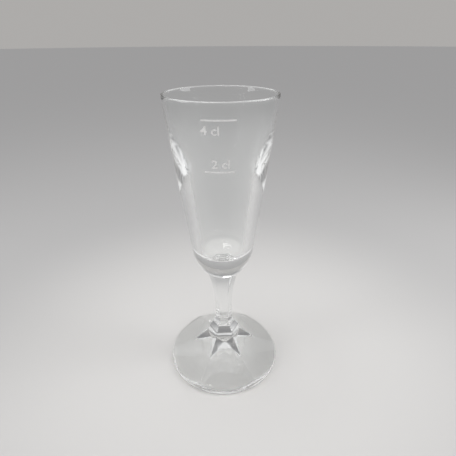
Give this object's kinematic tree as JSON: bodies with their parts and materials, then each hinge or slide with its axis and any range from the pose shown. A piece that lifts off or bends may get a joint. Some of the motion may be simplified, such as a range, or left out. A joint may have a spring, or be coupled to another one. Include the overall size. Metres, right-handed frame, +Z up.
{
  "type": "measuring glass",
  "caption": "Stemmed spirit measure in clear glass: a tall conical bowl with a thick base and fill lines, on a six-sided stem that flares into a round panelled foot.",
  "frame": {"origin": "centre of the foot's resting face, on the table", "axes": "+Z up along the glass's axis; the printed fill lines face -Y"},
  "size_m": [0.055, 0.055, 0.1315],
  "materials": {
    "clear_glass": "clear, fire-polished",
    "enamel": "fired white enamel, satin"
  },
  "bodies": {
    "root": {"bowl": "clear_glass", "stem": "clear_glass", "foot": "clear_glass", "fill_line_2cl": "enamel", "fill_line_4cl": "enamel"}
  },
  "joints": []
}
